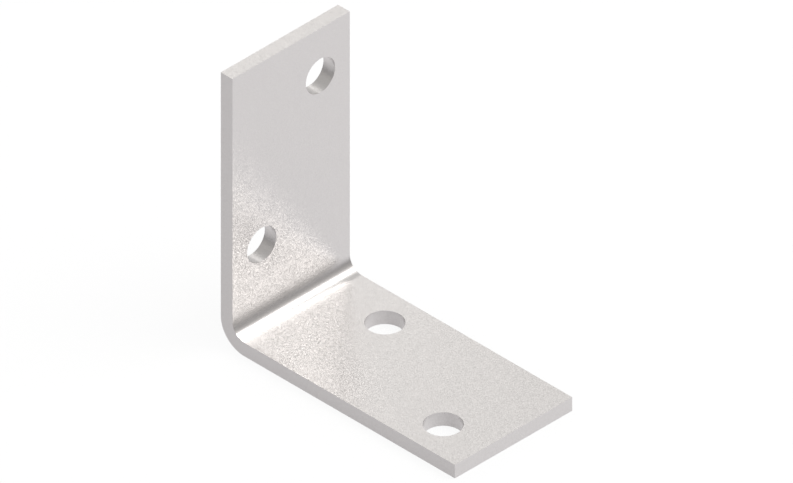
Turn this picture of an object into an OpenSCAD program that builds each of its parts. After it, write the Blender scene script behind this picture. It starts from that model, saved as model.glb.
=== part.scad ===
// Angle bracket: a strip of galvanised steel sheet, punched with four screw holes and
// folded once to a right angle. It is one piece, and both of its legs are alike.
//
// +X runs out along the base leg, +Y across the width and +Z up the upright leg.
// The origin is where the planes of the two outer faces cross, at mid-width.

/* [Legs] */
// Length of the base leg, from the upright leg's outer face to the tip
base_l = 40; // [28:1:120]
// Height of the upright leg, from the base leg's outer face to the tip
upright_h = 40; // [28:1:120]
// Width of the strip
width = 20; // [12:1:60]

/* [Sheet] */
// Thickness of the sheet
thick = 2; // [1:0.25:4]
// Inner radius of the fold
fold_r = 2; // [0.5:0.25:6]

/* [Screw holes] */
// Diameter of the screw holes
hole_d = 5; // [3:0.25:8]
// Centre of a leg's first hole, from the other leg's outer face
hole_first = 13; // [11:0.5:20]
// Centre of a leg's last hole, from its tip
hole_tip = 7; // [4:0.5:12]
// Centre of each hole, from the nearer side edge
hole_edge = 5; // [4:0.5:10]

/* [Hidden] */
$fn = 96;
// The fold's outer radius, which is also where both flat legs begin
outer_r = fold_r + thick;
// How far the holes stand to either side of mid-width
hole_side = width / 2 - hole_edge;
// How far a cutter runs past the face that it cuts
over = 1;

// A punched hole, straight down through the sheet
module screw_hole() {
    translate([0, 0, -over])
        cylinder(h = thick + 2 * over, d = hole_d);
}

// A leg that lies on the XY plane, from the fold out to its sheared tip, with its two
// staggered holes; the first one stands on the given side of mid-width
module leg(length, first_side) {
    difference() {
        translate([outer_r, -width / 2, 0])
            cube([length - outer_r, width, thick]);
        translate([hole_first, first_side * hole_side, 0])
            screw_hole();
        translate([length - hole_tip, -first_side * hole_side, 0])
            screw_hole();
    }
}

// The quarter turn that joins the legs
module fold() {
    translate([outer_r, 0, outer_r])
        rotate([90, 180, 0])
            rotate_extrude(angle = 90)
                translate([fold_r, -width / 2])
                    square([thick, width]);
}

module bracket() {
    color("gainsboro")
        union() {
            leg(base_l, 1);
            mirror([1, 0, -1])
                leg(upright_h, -1);
            fold();
        }
}

bracket();
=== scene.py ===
"""Angle bracket: the sheet's zinc finish, a pale studio and the camera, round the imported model."""
import math

import bpy
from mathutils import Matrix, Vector


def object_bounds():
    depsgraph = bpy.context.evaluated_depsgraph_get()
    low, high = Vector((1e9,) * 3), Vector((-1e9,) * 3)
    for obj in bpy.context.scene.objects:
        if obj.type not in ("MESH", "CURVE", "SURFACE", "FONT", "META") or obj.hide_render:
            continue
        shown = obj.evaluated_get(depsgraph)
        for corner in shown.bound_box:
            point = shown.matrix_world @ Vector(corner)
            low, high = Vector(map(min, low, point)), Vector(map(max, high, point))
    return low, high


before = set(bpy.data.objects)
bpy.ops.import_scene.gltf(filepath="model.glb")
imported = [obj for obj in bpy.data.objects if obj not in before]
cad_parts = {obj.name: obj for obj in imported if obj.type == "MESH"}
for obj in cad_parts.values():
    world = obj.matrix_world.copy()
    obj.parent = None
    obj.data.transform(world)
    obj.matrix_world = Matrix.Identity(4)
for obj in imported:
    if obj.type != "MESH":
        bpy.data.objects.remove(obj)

CAD_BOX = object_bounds()
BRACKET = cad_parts["bracket"]
CENTRE = (CAD_BOX[0] + CAD_BOX[1]) / 2

# ---------------------------------------------------------------- node helpers


class Nodes:
    """A node tree that is built from a few short calls."""

    def __init__(self, tree):
        self.tree = tree
        tree.nodes.clear()

    def add(self, kind, inputs=None, **settings):
        """A new node. A value for an input is a number, a tuple or another node's socket."""
        node = self.tree.nodes.new(kind)
        for name, value in settings.items():
            setattr(node, name, value)
        for name, value in (inputs or {}).items():
            socket = node.inputs[name]
            if isinstance(value, bpy.types.NodeSocket):
                self.tree.links.new(value, socket)
            else:
                socket.default_value = value
        return node

    def result(self, kind, inputs=None, **settings):
        """The first output of a new node."""
        return self.add(kind, inputs, **settings).outputs[0]

    def math(self, operation, *values):
        return self.result("ShaderNodeMath", dict(enumerate(values)), operation=operation)

    def vector(self, operation, *values, **named):
        inputs = {**dict(enumerate(values)), **named}
        return self.result("ShaderNodeVectorMath", inputs, operation=operation)

    def split(self, vector):
        """The X, Y and Z of a vector, by name."""
        return self.add("ShaderNodeSeparateXYZ", {"Vector": vector}).outputs

    def fade(self, value, start, end, level=1.0):
        """0 before start and the level after end, with a smooth change between them."""
        return self.result("ShaderNodeMapRange", {
            "Value": value,
            "From Min": start,
            "From Max": end,
            "To Max": level,
        }, interpolation_type="SMOOTHSTEP")

    def ramp(self, value, stops):
        """A colour that follows a value from 0 to 1, from a list of (value, colour)."""
        node = self.add("ShaderNodeValToRGB", {"Fac": value})
        line = node.color_ramp
        line.interpolation = "LINEAR"
        while len(line.elements) < len(stops):
            line.elements.new(1.0)
        for element, (place, colour) in zip(line.elements, stops):
            element.position = place
            element.color = (*colour, 1)
        return node.outputs["Color"]

    def mix(self, factor, first, second):
        """One shader fading into another."""
        return self.result("ShaderNodeMixShader", {0: factor, 1: first, 2: second})


def direction(azimuth, elevation):
    """The unit vector toward a place round the object: azimuth 0 is toward -Y and 90 toward +X."""
    a, e = math.radians(azimuth), math.radians(elevation)
    return Vector((math.sin(a) * math.cos(e), -math.cos(a) * math.cos(e), math.sin(e)))


# ------------------------------------------------------------------- materials

# Colour of the zinc, and how much its crystals differ in shade
ZINC = (0.732, 0.720, 0.713)
SHADES = 0.05
ROUGHNESS = 0.29
# Size of the crystals
CRYSTAL = 0.00009
# The range of the crystals' lean along X, Y and Z, as a slope. It is least across the strip.
LEAN = (0.15, 0.06, 0.18)
# Where the fold ends and the flat legs begin, from the outer corner: the base's lowest
# face starts there
FLATNESS = 0.000001
FOLD_END = min(v.co.x for v in BRACKET.data.vertices if v.co.z < CAD_BOX[0].z + FLATNESS)
# The folding press smooths the crystals: none show below the first of these distances
# from the outer corner, and all show beyond the second
PRESSED = (FOLD_END - 0.0012, FOLD_END + 0.0003)


def galvanised_sheet():
    """Zinc-coated steel: a pale warm grey metal whose fine crystals each tilt their own way."""
    material = bpy.data.materials.new("galvanised_sheet_finish")
    material.use_nodes = True
    n = Nodes(material.node_tree)
    place = n.add("ShaderNodeTexCoord").outputs["Object"]
    crystals = n.add("ShaderNodeTexVoronoi", {"Vector": place, "Scale": 1 / CRYSTAL}).outputs["Color"]
    shade = n.math("MULTIPLY_ADD", n.split(crystals)["X"], SHADES, 1 - SHADES / 2)
    reach = n.math("MAXIMUM", n.split(place)["X"], n.split(place)["Z"])
    lean = n.vector("SUBTRACT", crystals, (0.5, 0.5, 0.5))
    lean = n.vector("MULTIPLY", lean, LEAN)
    lean = n.vector("SCALE", lean, Scale=n.fade(reach, *PRESSED))
    normal = n.vector("ADD", lean, n.add("ShaderNodeNewGeometry").outputs["Normal"])
    metal = n.result("ShaderNodeBsdfPrincipled", {
        "Base Color": n.vector("SCALE", ZINC, Scale=shade),
        "Metallic": 1.0,
        "Roughness": ROUGHNESS,
        "Normal": n.vector("NORMALIZE", normal),
    })
    n.add("ShaderNodeOutputMaterial", {"Surface": metal})
    return material


# ---------------------------------------------------------------------- studio

# The floor reaches this far each way, a hair below the object, so that the two never
# share a plane
FLOOR_REACH = 0.6
FLOOR_GAP = 0.00005
FLOOR_PAPER = 0.94
# How much of the floor is paper that takes light and shadow. The rest lets the studio's
# pale backdrop through.
FLOOR_COVER = 0.10
# Light from the whole studio on a matt surface
FILL_LEVEL = 0.80
# The studio as metal mirrors it: its level by the height of the direction, where -1 is
# straight down and 1 straight up
ROOM_LEVELS = ((-1.0, 0.88), (-0.57, 0.76), (-0.26, 0.62), (0.0, 0.45), (0.26, 0.54),
               (0.57, 0.63), (0.87, 0.495))
# How much lighter it gets from its middle toward +Y, and darker toward -Y
ROOM_SLOPE = 0.175
# Tint of the lamps and the room's upper half, and of its lower half
WARM = (1.026, 1.0, 0.98)
COOL = (1.026, 1.0, 1.01)
# Soft cards for the metal to mirror, a dark one low on the camera's right and a pale one
# round the camera: azimuth, elevation, how far the card is full and where it ends in
# degrees, and how much light it adds
DARK_CARD = (133.0, 12.0, 10.0, 40.0, -0.24)
PALE_CARD = (45.0, 25.0, 25.0, 60.0, 0.27)
# Softboxes, the key high on the camera's right and a weak one behind the object: azimuth,
# elevation, width and height in degrees, and radiance
LAMP_DISTANCE = 0.5
KEY_LAMP = (139.0, 58.5, 30.0, 36.0, 3.25)
BACK_LAMP = (240.0, 26.0, 29.0, 29.0, 0.46)
# The camera: azimuth and elevation, how wide a view it takes, how far it stands from the
# object, and what it can see, from nearest to farthest
CAMERA_PLACE = (45.07, 35.34)
CAMERA_WIDTH = 0.0957
CAMERA_DISTANCE = 0.5
CAMERA_RANGE = (0.01, 10)


def seen_directly(n):
    """1 for the camera's own rays, and 1 for mirrored and refracted ones, each 0 for the others."""
    path = n.add("ShaderNodeLightPath").outputs
    mirrored = n.math("MAXIMUM", path["Is Glossy Ray"], path["Is Transmission Ray"])
    return path["Is Camera Ray"], mirrored


def soft_card(n, toward, azimuth, elevation, full, end, level):
    """How much light a card adds in a direction."""
    card = {0: toward, 1: direction(azimuth, elevation)}
    card = n.add("ShaderNodeVectorMath", card, operation="DOT_PRODUCT").outputs["Value"]
    return n.fade(card, math.cos(math.radians(end)), math.cos(math.radians(full)), level)


def studio_world():
    """White behind the object, and a pale room with two cards for the metal to mirror."""
    world = bpy.data.worlds.new("studio")
    bpy.context.scene.world = world
    world.use_nodes = True
    n = Nodes(world.node_tree)
    toward = n.add("ShaderNodeTexCoord").outputs["Generated"]
    along = n.split(toward)
    height = n.math("MULTIPLY_ADD", along["Z"], 0.5, 0.5)
    stops = []
    for z, level in ROOM_LEVELS:
        tint = WARM if z > 0 else COOL
        stops.append((z / 2 + 0.5, [level * c for c in tint]))
    change = n.math("MULTIPLY", along["Y"], ROOM_SLOPE)
    for card in (DARK_CARD, PALE_CARD):
        change = n.math("ADD", change, soft_card(n, toward, *card))
    room = n.vector("ADD", n.ramp(height, stops), change)
    camera, mirrored = seen_directly(n)
    fill = n.result("ShaderNodeBackground", {"Color": (1, 1, 1, 1), "Strength": FILL_LEVEL})
    mirror = n.result("ShaderNodeBackground", {"Color": room})
    white = n.result("ShaderNodeBackground", {"Color": (1, 1, 1, 1)})
    surface = n.mix(camera, n.mix(mirrored, fill, mirror), white)
    n.add("ShaderNodeOutputWorld", {"Surface": surface})


def studio_lamp(name, azimuth, elevation, width, height, radiance):
    """A softbox that faces the object, with its size as seen from there."""
    data = bpy.data.lights.new(name, "AREA")
    data.shape = "RECTANGLE"
    data.size = 2 * LAMP_DISTANCE * math.tan(math.radians(width / 2))
    data.size_y = 2 * LAMP_DISTANCE * math.tan(math.radians(height / 2))
    data.energy = radiance * 4 * data.size * data.size_y
    data.color = WARM
    lamp = bpy.data.objects.new(name, data)
    bpy.context.scene.collection.objects.link(lamp)
    toward = direction(azimuth, elevation)
    lamp.location = CENTRE + toward * LAMP_DISTANCE
    lamp.rotation_euler = toward.to_track_quat("Z", "Y").to_euler()


def studio_floor():
    """A plain white floor that shows a faint shadow."""
    x, y, z = CENTRE.x, CENTRE.y, CAD_BOX[0].z - FLOOR_GAP
    sides = ((-1, -1), (1, -1), (1, 1), (-1, 1))
    corners = [(x + i * FLOOR_REACH, y + j * FLOOR_REACH, z) for i, j in sides]
    mesh = bpy.data.meshes.new("floor")
    mesh.from_pydata(corners, [], [(0, 1, 2, 3)])
    floor = bpy.data.objects.new("floor", mesh)
    bpy.context.scene.collection.objects.link(floor)
    material = bpy.data.materials.new("floor_paper")
    material.use_nodes = True
    n = Nodes(material.node_tree)
    paper = n.result("ShaderNodeBsdfDiffuse", {"Color": (FLOOR_PAPER, FLOOR_PAPER, FLOOR_PAPER, 1)})
    backdrop = n.result("ShaderNodeBsdfTransparent")
    clear = n.math("MULTIPLY", n.math("MAXIMUM", *seen_directly(n)), 1 - FLOOR_COVER)
    n.add("ShaderNodeOutputMaterial", {"Surface": n.mix(clear, paper, backdrop)})
    mesh.materials.append(material)


def studio_camera():
    """An isometric view with parallel lines, centred on the object."""
    camera = bpy.data.objects.new("camera", bpy.data.cameras.new("camera"))
    bpy.context.scene.collection.objects.link(camera)
    bpy.context.scene.camera = camera
    toward = direction(*CAMERA_PLACE)
    camera.location = CENTRE + toward * CAMERA_DISTANCE
    camera.rotation_euler = toward.to_track_quat("Z", "Y").to_euler()
    camera.data.type = "ORTHO"
    camera.data.ortho_scale = CAMERA_WIDTH
    camera.data.clip_start, camera.data.clip_end = CAMERA_RANGE


BRACKET.material_slots[0].material = galvanised_sheet()
studio_world()
studio_lamp("key_softbox", *KEY_LAMP)
studio_lamp("back_softbox", *BACK_LAMP)
studio_floor()
studio_camera()
bpy.context.scene.view_settings.view_transform = "Standard"
